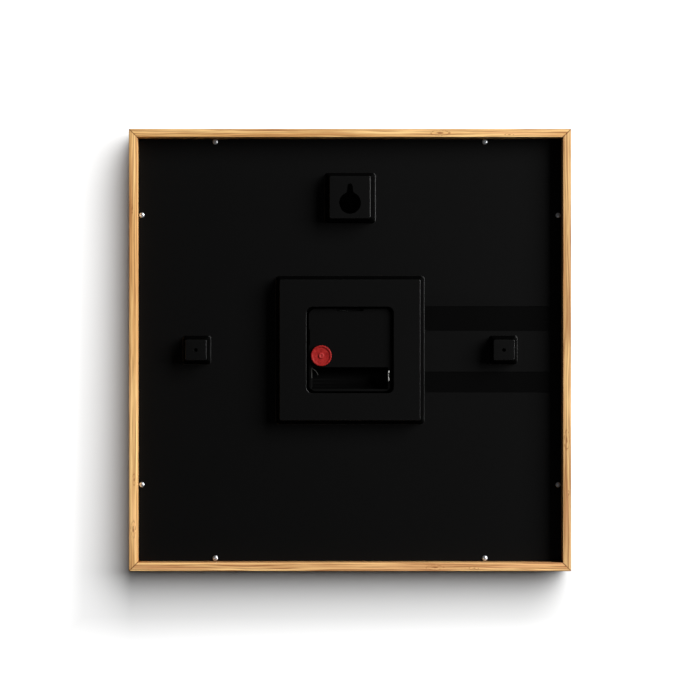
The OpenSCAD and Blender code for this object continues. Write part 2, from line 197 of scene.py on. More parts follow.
def times(c, k):
    ks = k if isinstance(k, tuple) else (k, k, k)
    return tuple(x * y for x, y in zip(c, ks))


WOOD_GAIN = (0.865, 0.850, 0.755)


def wood(name, along, outward, knots, seed, tint, gain, streaks):
    """Oiled softwood with the grain along one axis; knots are (along, outward) in mm."""
    m = Mat(name)
    tone = times(WOOD_GAIN, gain)
    x, y, z = m.xyz(m.tc)
    s = x if along == "x" else z
    u = m.math("MULTIPLY", z if along == "x" else x, outward)
    # grain bends round each knot
    bend, dark, ring = 0.0, 0.0, 0.0
    for k_s, k_u, size in knots:
        ds = m.math("DIVIDE", m.math("SUBTRACT", s, k_s * MM), 7.0 * MM * size)
        du = m.math("DIVIDE", m.math("SUBTRACT", u, k_u * MM), 1.9 * MM * size)
        r2 = m.math("ADD", m.math("MULTIPLY", ds, ds), m.math("MULTIPLY", du, du))
        fall = m.math("POWER", 2.718, m.math("MULTIPLY", r2, -0.9))
        push = m.math("MULTIPLY", m.math("MULTIPLY", du, fall), 0.9 * MM * size)
        bend = m.math("ADD", bend, push)
        core = m.math("POWER", 2.718, m.math("MULTIPLY", r2, -12.0))
        dark = m.math("ADD", dark, core)
        halo = m.math("MULTIPLY", fall, m.math("SINE", m.math("MULTIPLY", m.math("SQRT", r2), 8.5)))
        ring = m.math("ADD", ring, halo)
    ub = m.math("SUBTRACT", u, bend)
    wander = m.noise(m.vec(m.math("MULTIPLY", s, 11.0), 0.0, seed), 1.0, 2.0)
    ub = m.math("ADD", ub, m.math("MULTIPLY", m.math("SUBTRACT", wander, 0.5), 2.2 * MM))
    g = m.vec(m.math("MULTIPLY", s, 16.0), m.math("MULTIPLY", y, 560.0),
              m.math("ADD", m.math("MULTIPLY", ub, 640.0), seed))
    broad = m.noise(m.vec(m.math("MULTIPLY", s, 7.0), m.math("MULTIPLY", y, 210.0),
                          m.math("ADD", m.math("MULTIPLY", ub, 230.0), seed * 1.7)), 1.0, 3.0, 0.55)
    fine = m.noise(g, 1.0, 5.0, 0.62, 0.35)
    hair = m.noise(m.vec(m.math("MULTIPLY", s, 55.0), m.math("MULTIPLY", y, 1500.0),
                         m.math("MULTIPLY", ub, 2600.0)), 1.0, 3.0, 0.6)
    light = times(lin(250, 210, 150), tone)
    mid = times(lin(*tint), tone)
    warm = times(lin(204, 146, 92), tone)
    brown = times(lin(158, 101, 56), tone)
    col = m.ramp(broad, [(0.28, warm), (0.45, mid), (0.62, light), (0.80, mid)])
    lines = m.ramp(fine, [(0.36, (1, 1, 1)), (0.45, (0.50, 0.50, 0.50)), (0.53, (0, 0, 0))])
    col = m.mix(m.math("MULTIPLY", lines, 0.70), col, brown)
    # late-wood lines of the growth rings, thin and dark, drifting slowly along the rail
    drift_n = m.noise(m.vec(m.math("MULTIPLY", s, 9.0), m.math("MULTIPLY", y, 60.0),
                            m.math("ADD", m.math("MULTIPLY", ub, 140.0), seed * 0.6)), 1.0, 2.0, 0.5)
    across = m.math("ADD", ub, m.math("MULTIPLY", y, 0.55))
    phase = m.math("ADD", m.math("MULTIPLY", across, TAU / (1.9 * MM)), m.math("MULTIPLY", drift_n, 22.0))
    late = m.math("POWER", m.math("MULTIPLY", m.math("ADD", m.math("SINE", phase), 1.0), 0.5), 3.0)
    patchy = m.noise(m.vec(m.math("MULTIPLY", s, 22.0), m.math("MULTIPLY", y, 300.0), m.math("MULTIPLY", ub, 420.0)), 1.0, 2.0)
    late = m.math("MULTIPLY", late, m.span(patchy, 0.38, 0.56, 0.12, 1.0))
    col = m.mix(m.math("MULTIPLY", late, streaks), col, times(lin(140, 84, 44), tone))
    pink = m.noise(m.vec(m.math("MULTIPLY", s, 14.0), m.math("MULTIPLY", y, 240.0), m.math("MULTIPLY", ub, 300.0)), 1.0, 2.0)
    col = m.mix(m.span(pink, 0.52, 0.72, 0.0, 0.35), col, times(lin(226, 160, 122), tone))
    col = m.mix(m.span(hair, 0.55, 0.75, 0.0, 0.30), col, warm)
    if knots:
        blotch = m.noise(m.tc, 520.0, 3.0, 0.7)
        ring = m.math("MULTIPLY", ring, m.span(blotch, 0.40, 0.58, 0.2, 1.35))
        col = m.mix(m.span(ring, 0.12, 0.55, 0.0, 0.75), col, times(lin(146, 88, 44), tone))
        col = m.mix(m.math("MULTIPLY", dark, 0.55, clamp=True), col, times(lin(128, 74, 36), tone))
    # glue line at the mitres, and painted shade along the outer arris where the rounded edge turns from the light
    ax, az = m.math("ABSOLUTE", x), m.math("ABSOLUTE", z)
    gap = m.math("ABSOLUTE", m.math("SUBTRACT", ax, az))
    blot = m.noise(m.tc, 900.0, 2.0)
    col = m.mix(m.math("MULTIPLY", m.span(gap, 0.22 * MM, 0.62 * MM, 1.0, 0.0), m.span(blot, 0.25, 0.6, 0.45, 1.0)),
                col, times(lin(112, 64, 30), tone))
    # painted shade: the last 0.8 mm out to the outer arris is mixed towards brown
    edge = m.math("MAXIMUM", ax, az)
    col = m.mix(m.span(edge, 149.2 * MM, 150.0 * MM, 0.0, 0.45), col, brown)
    end = m.mix(0.0, col, brown)
    m.set(color=end, rough=m.span(fine, 0.3, 0.7, 0.62, 0.48), spec=0.32,
          normal=m.bump(m.math("ADD", m.math("MULTIPLY", fine, 0.6), m.math("MULTIPLY", hair, 0.4)), 0.35, 0.12 * MM))
    return m.m


def moulded(name, base, rough, grain_mm, grain, spec=0.3, bands=False, drift=0.18, skin=0.0, walls=0.0):
    """Injection-moulded plastic: fine spark-eroded grain, flow marks, dust in the texture."""
    m = Mat(name)
    g = m.noise(m.tc, 1.0 / (grain_mm * MM), 3.0, 0.6)
    g2 = m.voronoi(m.tc, 0.8 / (grain_mm * MM))
    flow = m.noise(m.tc, 18.0, 3.0, 0.55, 0.6)
    fine = m.noise(m.tc, 420.0, 2.0)
    c = m.mix(m.span(flow, 0.3, 0.7), times(base, 1.0 - drift), times(base, 1.0 + drift))
    c = m.mix(m.span(fine, 0.35, 0.7, 0.0, 0.5), c, times(base, 0.75))
    c = m.mix(m.span(g, 0.60, 0.80, 0.0, 0.35), c, times(base, 1.7))
    r = m.math("ADD", m.span(flow, 0.3, 0.7, rough - 0.006, rough + 0.006), m.span(g, 0.3, 0.7, -0.03, 0.03))
    h = m.math("ADD", g, m.math("MULTIPLY", g2, 0.6))
    strength = grain
    if bands:
        x, y, z = m.xyz(m.tc)
        inx = m.math("MULTIPLY", m.math("LESS_THAN", x, -51.0 * MM), m.math("GREATER_THAN", x, -139.05 * MM))
        up = m.math("MULTIPLY", m.math("LESS_THAN", z, 29.8 * MM), m.math("GREATER_THAN", z, 13.0 * MM))
        dn = m.math("MULTIPLY", m.math("LESS_THAN", z, -14.8 * MM), m.math("GREATER_THAN", z, -29.0 * MM))
        low = m.math("LESS_THAN", y, -11.15 * MM)
        mask = m.math("MULTIPLY", m.math("MULTIPLY", inx, low), m.math("ADD", up, dn))
        c = m.mix(m.math("MULTIPLY", mask, 0.62), c, (0.0, 0.0, 0.0))
        r = m.math("SUBTRACT", r, m.math("MULTIPLY", mask, 0.16))
        h = m.math("MULTIPLY", h, m.math("SUBTRACT", 1.0, m.math("MULTIPLY", mask, 0.85)))
    m.set(color=c, rough=r, spec=spec, normal=m.bump(h, strength, grain_mm * 0.12 * MM))
    if walls:
        # steep faces were drawn along the tool, which left them smoother; their colour is also painted darker as shade,
        # for the dark look of walls that turn away from the light
        geo = m.t.nodes.new("ShaderNodeNewGeometry")
        ny = m.math("ABSOLUTE", m.xyz(geo.outputs["Normal"])[1])
        steep_smooth_and_shade = m.span(ny, 0.40, 0.62, 1.0, 0.0)
        m.set(rough=m.math("SUBTRACT", r, m.math("MULTIPLY", steep_smooth_and_shade, walls)),
              color=m.mix(steep_smooth_and_shade, c, (0.0002, 0.0002, 0.0002)))
    if skin:
        m.set(coat=skin, coat_rough=0.20)
    return m.m


def metal(name, base, rough, axis=None, stain=0.25, scale=900.0):
    """Drawn or stamped metal: fine lengthwise scratches, slight tarnish."""
    m = Mat(name)
    s = (1.0, 1.0, 1.0)
    if axis is not None:
        s = tuple(0.06 if i == axis else 1.0 for i in range(3))
    scratch = m.noise(m.scaled(m.tc, s), scale, 4.0, 0.65)
    cloud = m.noise(m.tc, 140.0, 3.0)
    c = m.mix(m.span(cloud, 0.35, 0.7, 0.0, stain), base, times(base, 0.55))
    c = m.mix(m.span(scratch, 0.5, 0.8, 0.0, 0.5), c, times(base, 1.12))
    m.set(color=c, metal=1.0, rough=m.span(scratch, 0.3, 0.7, rough - 0.06, rough + 0.08),
          normal=m.bump(scratch, 0.15, 0.02 * MM))
    return m.m


MATS = {
    "panel_black": moulded("panel_black_moulded", (0.0009, 0.0009, 0.0009), 0.55, 0.30, 0.12, spec=0.086, bands=True, drift=0.05, walls=0.22),
    "movement_black": moulded("movement_black_moulded", (0.0012, 0.0012, 0.0012), 0.53, 0.18, 0.10, spec=0.072, drift=0.05),
    "white_card": moulded("spacer_white", (0.80, 0.80, 0.77), 0.72, 0.20, 0.35, spec=0.2, drift=0.02),
    "gear_plastic": moulded("gear_acetal", (0.78, 0.76, 0.67), 0.36, 0.25, 0.18, spec=0.45, drift=0.03),
    "gasket_rubber": moulded("gasket_rubber_black", (0.018, 0.018, 0.019), 0.80, 0.12, 0.5, spec=0.25),
    "chip_resin": moulded("chip_epoxy", (0.010, 0.010, 0.012), 0.42, 0.06, 0.3, spec=0.4),
    "board_green": moulded("board_solder_mask", (0.015, 0.150, 0.050), 0.30, 0.40, 0.20, spec=0.5, drift=0.1),
    "hand_black": moulded("hand_lacquer_black", (0.010, 0.010, 0.010), 0.34, 0.10, 0.12, spec=0.45),
    "second_hand_red": moulded("hand_lacquer_red", (0.46, 0.016, 0.012), 0.30, 0.10, 0.10, spec=0.45, drift=0.05),
    "print_black": moulded("dial_ink", (0.012, 0.012, 0.013), 0.55, 0.08, 0.15, spec=0.3),
    "screw_steel": metal("screw_zinc_plate", (0.66, 0.69, 0.73), 0.38, None, 0.35, 2600.0),
    "contact_steel": metal("contact_nickel", (0.42, 0.415, 0.40), 0.34, 2, 0.2, 2400.0),
    "brass_fittings": metal("fittings_brass", (0.78, 0.56, 0.24), 0.26, None, 0.3, 1500.0),
    "motor_iron": metal("motor_silicon_steel", (0.40, 0.40, 0.42), 0.38, 0, 0.4, 1200.0),
    "magnet_dark": metal("magnet_ferrite", (0.16, 0.16, 0.17), 0.45, None, 0.3, 900.0),
}


def winding(name):
    """Enamelled copper wire, wound side by side along X."""
    m = Mat(name)
    x, y, z = m.xyz(m.tc)
    turn = m.math("SINE", m.math("MULTIPLY", x, TAU / (0.12 * MM)))
    n = m.noise(m.tc, 700.0, 3.0)
    # painted shade and highlight: the colour runs dark to bright across every turn, dark between the wires and bright
    # on each wire's crown
    c = m.mix(m.span(turn, -1.0, 1.0), (0.20, 0.06, 0.02), (0.72, 0.30, 0.12))
    c = m.mix(m.span(n, 0.4, 0.7, 0.0, 0.4), c, (0.45, 0.17, 0.06))
    m.set(color=c, metal=0.85, rough=0.32, normal=m.bump(turn, 0.6, 0.03 * MM))
    return m.m


def knob_red(name, cx, cz):
    """Red polystyrene knob: turned rings and a mottled moulded face."""
    m = Mat(name)
    x, y, z = m.xyz(m.tc)
    dx, dz = m.math("SUBTRACT", x, cx), m.math("SUBTRACT", z, cz)
    r = m.math("SQRT", m.math("ADD", m.math("MULTIPLY", dx, dx), m.math("MULTIPLY", dz, dz)))
    mott = m.noise(m.tc, 620.0, 4.0, 0.7, 0.8)
    grain = m.noise(m.tc, 4200.0, 3.0, 0.6)
    deep, mid, pale = (0.17, 0.0055, 0.0060), (0.27, 0.0095, 0.0085), (0.40, 0.030, 0.026)
    c = m.ramp(mott, [(0.30, deep), (0.50, mid), (0.72, pale)])
    rim = m.span(r, 5.9 * MM, 6.5 * MM)
    hub = m.span(r, 1.75 * MM, 1.95 * MM, 1.0, 0.0)
    c = m.mix(m.math("MULTIPLY", rim, 0.35), c, mid)
    c = m.mix(m.math("MULTIPLY", hub, 0.75), c, (0.36, 0.028, 0.026))
    m.set(color=c, rough=m.span(mott, 0.3, 0.7, 0.55, 0.42), spec=0.16,
          normal=m.bump(m.math("ADD", mott, m.math("MULTIPLY", grain, 0.4)), 0.45, 0.05 * MM))
    return m.m


def clear_glass(name):
    """Thin float glass: clear, faint green, a soft reflection at the surface."""
    m = Mat(name)
    n = m.noise(m.tc, 9.0, 2.0)
    m.set(color=m.mix(m.span(n, 0.3, 0.7), (0.93, 0.975, 0.955), (0.95, 0.985, 0.97)),
          rough=m.span(n, 0.3, 0.7, 0.0, 0.015), spec=0.5)
    m.b.inputs["Transmission Weight"].default_value = 1.0
    m.b.inputs["IOR"].default_value = 1.02
    clear = m.t.nodes.new("ShaderNodeBsdfTransparent")
    m.link(m.mix(m.span(n, 0.3, 0.7), (0.965, 0.985, 0.975), (0.975, 0.99, 0.985)), clear.inputs[0])
    gloss = m.t.nodes.new("ShaderNodeBsdfGlossy")
    gloss.inputs["Roughness"].default_value = 0.02
    weight = m.t.nodes.new("ShaderNodeLayerWeight")
    weight.inputs["Blend"].default_value = 0.5
    gloss_part = m.math("ADD", 0.04, m.math("MULTIPLY", 0.9, m.math("POWER", weight.outputs["Facing"], 5.0)))
    mixed = m.t.nodes.new("ShaderNodeMixShader")
    m.link(gloss_part, mixed.inputs[0])
    m.link(clear.outputs[0], mixed.inputs[1])
    m.link(gloss.outputs[0], mixed.inputs[2])
    m.link(mixed.outputs[0], m.out.inputs[0])
    m.t.nodes.remove(m.b)
    return m.m


def dial_board(name, front_y):
    """White printed paper on the front of a black hardboard."""
    m = Mat(name)
    x, y, z = m.xyz(m.tc)
    fibre = m.noise(m.scaled(m.tc, (1.0, 1.0, 0.35)), 1600.0, 4.0, 0.6)
    cloud = m.noise(m.tc, 60.0, 3.0)
    face = m.math("LESS_THAN", y, front_y)
    paper = m.mix(m.span(cloud, 0.3, 0.7), (0.83, 0.83, 0.80), (0.86, 0.86, 0.83))
    back = m.mix(m.span(fibre, 0.35, 0.7), (0.0025, 0.0023, 0.0021), (0.006, 0.0055, 0.005))
    m.set(color=m.mix(face, back, paper), rough=m.math("ADD", 0.6, m.math("MULTIPLY", fibre, 0.15)), spec=0.15,
          normal=m.bump(fibre, 0.2, 0.03 * MM))
    return m.m


CONTACT_DULL = metal("contact_spring_tarnished", (0.30, 0.295, 0.28), 0.34, 2, 0.5, 2400.0)
EDGE = moulded("black_worn_edges", (0.0009, 0.0009, 0.0009), 0.50, 0.30, 0.12, spec=0.082, drift=0.05, skin=0.34)
MATS["dial_white"] = dial_board("dial_paper_on_board", -22.55 * MM)
KNOB_X, KNOB_Z = 19.5 * MM, -3.9 * MM
MATS["winding_copper"] = winding("winding_enamelled")
MATS["knob_red"] = knob_red("knob_red_moulded", KNOB_X, KNOB_Z)
MATS["clear_glass"] = clear_glass("glass_float")
MATS["wood_top"] = wood("wood_top", "x", 1.0, [(-61.0, 147.2, 1.0), (-108.0, 146.0, 0.45)], 3.1, (216, 168, 108), 1.15, 0.80)
MATS["wood_bottom"] = wood("wood_bottom", "x", -1.0, [(-57.5, 147.4, 0.9), (-84.0, 148.0, 0.5)], 11.7, (212, 162, 114), 1.22, 0.95)
MATS["wood_left"] = wood("wood_left", "z", 1.0, [(-121.5, 147.0, 0.9), (-88.0, 146.4, 0.6), (96.0, 147.8, 0.5)], 23.9, (222, 175, 117), 1.26, 0.66)
MATS["wood_right"] = wood("wood_right", "z", -1.0, [(-61.0, 147.0, 1.0), (-98.0, 148.2, 0.4)], 37.3, (213, 168, 116), 1.0, 0.78)


# ------------------------------------------------------------ mesh helpers
def finish_mesh(name, bm, material, body, smooth_deg=32.0, weld=1e-7):
    bmesh.ops.remove_doubles(bm, verts=bm.verts, dist=weld)
    bmesh.ops.recalc_face_normals(bm, faces=bm.faces)
    me = bpy.data.meshes.new(name)
    bm.to_mesh(me)
    bm.free()
    for p in me.polygons:
        p.use_smooth = True
    me.set_sharp_from_angle(angle=math.radians(smooth_deg))
    o = bpy.data.objects.new(name, me)
    bpy.context.scene.collection.objects.link(o)
    o.data.materials.append(material)
    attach(o, body)
    return o


def rounded(points, radii, segs=5):
    """A closed outline with each corner rounded by its radius."""
    n = len(points)
    out = []
    for i in range(n):
        p, a, b = Vector(points[i]), Vector(points[i - 1]), Vector(points[(i + 1) % n])
        r = radii[i]
        if r <= 0:
            out.append((p.x, p.y))
            continue
        da, db = (a - p).normalized(), (b - p).normalized()
        half = da.angle(db) / 2
        t = min(r / math.tan(half), 0.45 * min((a - p).length, (b - p).length))
        rr = t * math.tan(half)
        c = p + (da + db).normalized() * (rr / math.sin(half))
        s, e = p + da * t - c, p + db * t - c
        a0, a1 = math.atan2(s.y, s.x), math.atan2(e.y, e.x)
        d = (a1 - a0 + math.pi) % TAU - math.pi
        for k in range(segs + 1):
            q = a0 + d * k / segs
            out.append((c.x + rr * math.cos(q), c.y + rr * math.sin(q)))
    return out


def inset(outline, dist):
    """Moves each point of a closed outline inwards by dist, along its own bisector."""
    n = len(outline)
    area = sum(outline[i][0] * outline[(i + 1) % n][1] - outline[(i + 1) % n][0] * outline[i][1] for i in range(n))
    sign = 1.0 if area > 0 else -1.0
    out = []
    for i in range(n):
        p, a, b = Vector(outline[i]), Vector(outline[i - 1]), Vector(outline[(i + 1) % n])
        e1, e2 = (p - a).normalized(), (b - p).normalized()
        t = (e1 + e2)
        t = t.normalized() if t.length > 1e-9 else e1
        nrm = Vector((-t.y, t.x)) * sign
        out.append((p.x + nrm.x * dist, p.y + nrm.y * dist))
    return out


def bridge(bm, a, b, closed=True):
    n = len(a)
    for i in range(n if closed else n - 1):
        j = (i + 1) % n
        bm.faces.new((a[i], a[j], b[j], b[i]))


# -------------------------------------------------------------- wood rails
RAIL = [(150.0, 0.0), (150.0, 40.0), (136.5, 40.0), (136.5, 36.0), (139.4, 36.0), (139.4, 13.0), (144.4, 13.0), (144.4, 0.0)]
RAIL_R = [0.55, 0.60, 0.45, 0.20, 0.15, 0.25, 0.15, 0.40]


def rail(name, side):
    outline = rounded(RAIL, RAIL_R, 5)
    small = inset(outline, 0.20)
    bm = bmesh.new()
    place = {
        "top": lambda s, u, d: (s, -d, u), "bottom": lambda s, u, d: (s, -d, -u),
        "left": lambda s, u, d: (u, -d, s), "right": lambda s, u, d: (-u, -d, s),
    }[side]
    rows = []

    def row(shape, where):
        rows.append([bm.verts.new(Vector(place(where(u), u, d)) * MM) for u, d in shape])

    row(small, lambda u: -u)
    row(outline, lambda u: -(u - 0.24))
    for k in range(-8, 9):
        row(outline, lambda u, k=k: k * 16.5)
    row(outline, lambda u: u - 0.24)
    row(small, lambda u: u)
    for a, b in zip(rows, rows[1:]):
        bridge(bm, a, b)
    bm.faces.new(rows[0])
    bm.faces.new(list(reversed(rows[-1])))
    o = finish_mesh(name, bm, MATS["wood_" + side], "case", 40.0)
    return o


for side in ("top", "right", "bottom", "left"):
    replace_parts(rail("rail_" + side + "_wood", side), "frame_rail_" + side)


# ---------------------------------------- CAD shapes with worked, eased edges
def eased(node, name, material, ease, body="case", smooth_deg=32.0, min_angle=28.0, segs=3, edge=None):
    """A copy of a CAD node's surface with its hard edges rounded. ease(v1, v2, angle) gives each edge's radius in mm."""
    bm = bmesh.new()
    bm.from_mesh(nodes[node].data)
    bmesh.ops.remove_doubles(bm, verts=bm.verts, dist=2e-7)
    bmesh.ops.dissolve_limit(bm, angle_limit=math.radians(0.6), verts=bm.verts, edges=bm.edges)
    bmesh.ops.recalc_face_normals(bm, faces=bm.faces)
    layer = bm.edges.layers.float.new("ease")
    groups = {}
    for e in bm.edges:
        if len(e.link_faces) != 2:
            continue
        a = e.calc_face_angle(0.0)
        if a < math.radians(min_angle):
            continue
        signed = e.calc_face_angle_signed(0.0)
        r = ease(e.verts[0].co / MM, e.verts[1].co / MM, math.copysign(math.degrees(a), signed))
        if r:
            groups.setdefault(r, []).append(e)
    for r, es in groups.items():
        for e in es:
            e[layer] = r
    for r in sorted(groups, reverse=True):
        es = [e for e in bm.edges if e.is_valid and abs(e[layer] - r) < 1e-6 and len(e.link_faces) == 2]
        bmesh.ops.bevel(bm, geom=es, offset=r * MM, offset_type="OFFSET", segments=segs, profile=0.5,
                        affect="EDGES", clamp_overlap=True, material=1 if edge else -1)
        for e in bm.edges:
            if abs(e[layer] - r) < 1e-6:
                e[layer] = 0.0
    big = [f for f in bm.faces if len(f.verts) > 4]
    bmesh.ops.triangulate(bm, faces=big)
    o = finish_mesh(name, bm, material, body, smooth_deg)
    if edge:
        o.data.materials.append(edge)
    w = o.modifiers.new("weighted", "WEIGHTED_NORMAL")
    w.keep_sharp = True
    w.mode = "FACE_AREA"
    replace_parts(o, node)
    return o


def near(v, value, tol=0.05):
    return abs(v - value) < tol


def panel_ease(a, b, angle):
    ya, yb = -a.y, -b.y
    flat_at = lambda d: near(ya, d) and near(yb, d)
    mid = (a + b) / 2
    r = max(abs(mid.x), abs(mid.z))
    if flat_at(0.0):
        inner_hole = abs(mid.x) < 9 and 90 < mid.z < 114
        small_hole = abs(mid.z) < 3 and 100 < abs(mid.x) < 109 and math.hypot(abs(mid.x) - 104.5, mid.z) < 2
        window = max(abs(mid.x), abs(mid.z)) < 30
        if inner_hole:
            return 0.35
        if small_hole:
            return 0.35
        if window:
            return 0.4
        return 0.45
    if flat_at(11.0) and r < 136:
        if -139.5 < mid.x < -50.5 and (near(mid.z, 13.0, .2) or near(mid.z, 29.8, .2) or near(mid.z, -14.8, .2) or near(mid.z, -29.0, .2)):
            return 0.12
        return 0.6
    return 0.0


eased("back_panel", "back_panel_moulding", MATS["panel_black"], panel_ease, edge=EDGE)


def case_ease(a, b, angle):
    ya, yb = -a.y, -b.y
    mid = (a + b) / 2
    if abs(mid.x) > 25.6 and -27 < mid.z < -11:
        return 0.0
    if near(ya, 3.0) and near(yb, 3.0):
        return 0.4
    if near(ya, 6.0, .6) and near(yb, 6.0, .6):
        return 0.2
    if ya < 7 and yb < 7 and abs(ya - yb) > 2:
        return 0.25
    return 0.0


eased("movement_rear_case", "movement_rear_shell", MATS["movement_black"], case_ease, edge=EDGE)

for node, body in (("hour_hand", "hours"), ("minute_hand", "minutes"), ("second_hand", "seconds")):
    red = node == "second_hand"
    eased(node, node + "_pressed", MATS["second_hand_red" if red else "hand_black"],
          lambda a, b, ang: 0.18, body=body)


# ---------------------------------------------------------------- the knob
def knob():
    """Setting knob: milled edge, raised rim, sunk mottled ring, raised hub with a dimple."""
    bm = bmesh.new()
    # (radius, depth) from the hub outwards; depth grows towards the dial
    prof = [(0.0, 0.55), (0.28, 0.53), (0.46, 0.42), (0.62, 0.26), (0.9, 0.18), (1.5, 0.16), (1.72, 0.20), (1.86, 0.32),
            (1.94, 0.54), (2.06, 0.66), (2.5, 0.70), (3.6, 0.66), (4.6, 0.60), (5.4, 0.56), (5.68, 0.50), (5.82, 0.32),
            (5.98, 0.16), (6.2, 0.11), (6.6, 0.11), (6.86, 0.16), (7.04, 0.30), (7.12, 0.50), (7.14, 0.80), (7.14, 1.95),
            (7.10, 2.35), (6.98, 2.55), (6.8, 2.63), (6.2, 2.65), (1.6, 2.65)]
    steps = 24 * 8
    rows = []
    for r, d in prof:
        if r == 0.0:
            rows.append([bm.verts.new((KNOB_X, -d * MM, KNOB_Z))])
            continue
        ring = []
        for i in range(steps):
            a = TAU * i / steps
            # 24 finger grooves milled into the edge
            g = max(0.0, math.cos(24 * a)) ** 3
            depth = 0.30 * g if r > 6.9 else (0.16 * g if r > 6.7 else 0.0)
            rr = r - depth
            ring.append(bm.verts.new((KNOB_X + rr * MM * math.cos(a), -d * MM, KNOB_Z + rr * MM * math.sin(a))))
        rows.append(ring)
    for i in range(steps):
        bm.faces.new((rows[0][0], rows[1][i], rows[1][(i + 1) % steps]))
    for a, b in zip(rows[1:], rows[2:]):
        bridge(bm, a, b)
    bm.faces.new(rows[-1])
    o = finish_mesh("setting_knob_turned", bm, MATS["knob_red"], "setting", 35.0)
    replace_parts(o, "setting_knob")


knob()


# ------------------------------------------------------------------ screws
def screw_at(bm, x, z, turn):
    """Pan-head screw with a cross recess, its top towards +Y."""
    top, r = 9.75, 1.8
    n = 48
    hw, reach, deep = 0.26, 1.12, 0.62

    def p(px, pz, d):
        c, s = math.cos(turn), math.sin(turn)
        return bm.verts.new(Vector((x + px * c - pz * s, -d, z + px * s + pz * c)) * MM)

    def dome(q):
        return top + 0.72 * (1.0 - math.sqrt(max(0.0, 1.0 - (q / 2.02) ** 2))) * 1.5

    cross = []
    for k in range(4):
        a = k * math.pi / 2
        for px, pz in ((hw, hw), (hw * 1.15, reach * 0.55), (hw * 0.85, reach), (-hw * 0.85, reach), (-hw * 1.15, reach * 0.55)):
            c, s = math.cos(a), math.sin(a)
            cross.append((px * c - pz * s, px * s + pz * c))
    m = len(cross)
    rim = [p(cx, cz, dome(math.hypot(cx, cz))) for cx, cz in cross]
    floor_ = [p(cx * 0.62, cz * 0.62, top + deep) for cx, cz in cross]
    bridge(bm, rim, floor_)
    bm.faces.new(floor_)
    # rings from the recess out to the edge of the head
    angs = [math.atan2(cz, cx) for cx, cz in cross]
    prev = rim
    for q in (1.22, 1.36, 1.50, 1.62, 1.70):
        ring = [p(q * math.cos(a), q * math.sin(a), dome(q)) for a in angs]
        bridge(bm, prev, ring)
        prev = ring
    for q, d in ((1.77, dome(1.70) + 0.16), (1.80, dome(1.70) + 0.32), (1.80, 11.0)):
        ring = [p(q * math.cos(a), q * math.sin(a), d) for a in angs]
        bridge(bm, prev, ring)
        prev = ring
    ring = [p(1.05 * math.cos(a), 1.05 * math.sin(a), 11.0) for a in angs]
    bridge(bm, prev, ring)
    prev = ring
    ring = [p(0.95 * math.cos(a), 0.95 * math.sin(a), 19.0) for a in angs]
    bridge(bm, prev, ring)
    bm.faces.new(ring)


lo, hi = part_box("back_panel_screws")
SCREWS = [(s * 91.9, t * 142.0) for s in (-1, 1) for t in (-1, 1)] + [(t * 142.0, s * 91.9) for s in (-1, 1) for t in (-1, 1)]
bm = bmesh.new()
for i, (sx, sz) in enumerate(SCREWS):
    screw_at(bm, sx, sz, 0.35 + 0.61 * i)
o = finish_mesh("panel_screws_cross_head", bm, MATS["screw_steel"], "case", 30.0)
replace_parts(o, "back_panel_screws")


# --------------------------------------------------------- the dial's print
def printed(name, polys, material, body, d0=22.6, t=0.05):
    """Ink on the dial: flat shapes in (x, z) mm, raised by a coat's thickness."""
    bm = bmesh.new()
    for poly in polys:
        a = [bm.verts.new((px * MM, -d0 * MM, pz * MM)) for px, pz in poly]
        b = [bm.verts.new((px * MM, -(d0 + t) * MM, pz * MM)) for px, pz in poly]
        bridge(bm, a, b)
        bm.faces.new(a)
        bm.faces.new(list(reversed(b)))
    return finish_mesh(name, bm, material, body, 30.0)


ticks = []
for i in range(60):
    a = TAU * i / 60
    w, r0 = (1.5, 119.5) if i % 5 == 0 else (0.45, 124.0)
    r1 = 129.0
    dirx, dirz = math.sin(a), math.cos(a)
    nx, nz = dirz, -dirx
    pts = []
    for r, s in ((r0, -1), (r1, -1), (r1, 1), (r0, 1)):
        pts.append((dirx * r + nx * s * w, dirz * r + nz * s * w))
    ticks.append(rounded(pts, [w * 0.5] * 4, 4))
printed("dial_minute_track", ticks, MATS["print_black"], "case")


def numerals():
    """The hours 1 to 12, in the plain built-in face, as thin ink."""
    dg = bpy.context.evaluated_depsgraph_get()
    bm = bmesh.new()
    for h in range(1, 13):
        cu = bpy.data.curves.new("hour_%d" % h, "FONT")
        cu.body = str(h)
        cu.size = 23.0 * MM
        cu.align_x, cu.align_y = "CENTER", "CENTER"
        cu.extrude = 0.025 * MM
        cu.resolution_u = 6
        t = bpy.data.objects.new("hour_%d" % h, cu)
        bpy.context.scene.collection.objects.link(t)
        bpy.context.view_layer.update()
        me = t.evaluated_get(bpy.context.evaluated_depsgraph_get()).to_mesh()
        xs = [v.co.x for v in me.vertices]
        ys = [v.co.y for v in me.vertices]
        cx, cy = (min(xs) + max(xs)) / 2, (min(ys) + max(ys)) / 2
        a = TAU * h / 12
        r = 102.0 * MM
        ox, oz = r * math.sin(a), r * math.cos(a)
        made = [bm.verts.new((ox + (v.co.x - cx), -22.625 * MM - v.co.z, oz + (v.co.y - cy))) for v in me.vertices]
        for f in me.polygons:
            try:
                bm.faces.new([made[k] for k in f.vertices])
            except ValueError:
                pass
        t.evaluated_get(dg).to_mesh_clear()
        bpy.data.objects.remove(t)
        bpy.data.curves.remove(cu)
    return finish_mesh("dial_numerals", bm, MATS["print_black"], "case", 30.0)


numerals()

# ---------------------------------------- every CAD node that stays gets its finish
slot_of = {s["node"]: s["material_slot"] for s in frame["record"]["subparts"]}
for n, ob in nodes.items():
    if slot_of[n] == "frame_wood":
        continue
    ob.data.materials.clear()
    ob.data.materials.append(CONTACT_DULL if n == "battery_contact_negative" else MATS[slot_of[n]])


# ------------------------------------------------------------------- stage
def plain(name, col, emit=None):
    m = Mat(name)
    n = m.noise(m.tc, 3.0, 2.0)
    m.set(color=m.mix(m.span(n, 0.3, 0.7), col, times(col, 0.995)), rough=0.9, spec=0.0)
    return m


